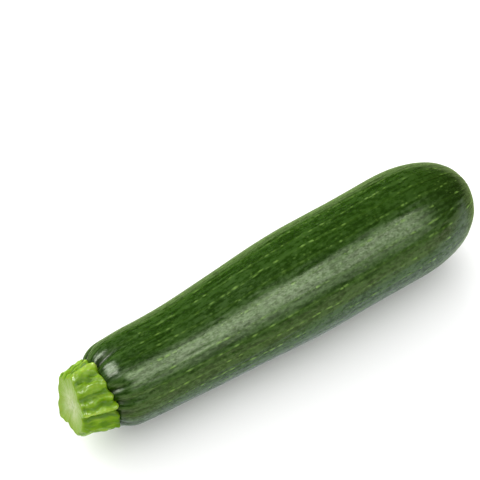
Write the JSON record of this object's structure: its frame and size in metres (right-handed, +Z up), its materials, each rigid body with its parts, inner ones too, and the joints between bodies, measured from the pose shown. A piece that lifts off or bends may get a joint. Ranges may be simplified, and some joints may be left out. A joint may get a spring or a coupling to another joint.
{
  "type": "courgette",
  "caption": "Whole dark green courgette lying on its side: a slim fruit that swells towards a round blossom end, with furrowed shoulder and a short ridged pale stalk cut at a slant.",
  "frame": {"origin": "on the surface that the courgette lies on, under the middle of its bounding box", "axes": "+X along the fruit from the stalk to the blossom end, +Z up from the surface it lies on"},
  "size_m": [0.1964, 0.046, 0.046],
  "materials": {
    "skin": "thin waxy skin, satin to glossy, dark green with fine paler flecks",
    "stalk": "fibrous yellow-green stalk with a moist paler cut face"
  },
  "bodies": {
    "root": {"fruit": "skin", "stalk": "stalk"}
  },
  "joints": []
}
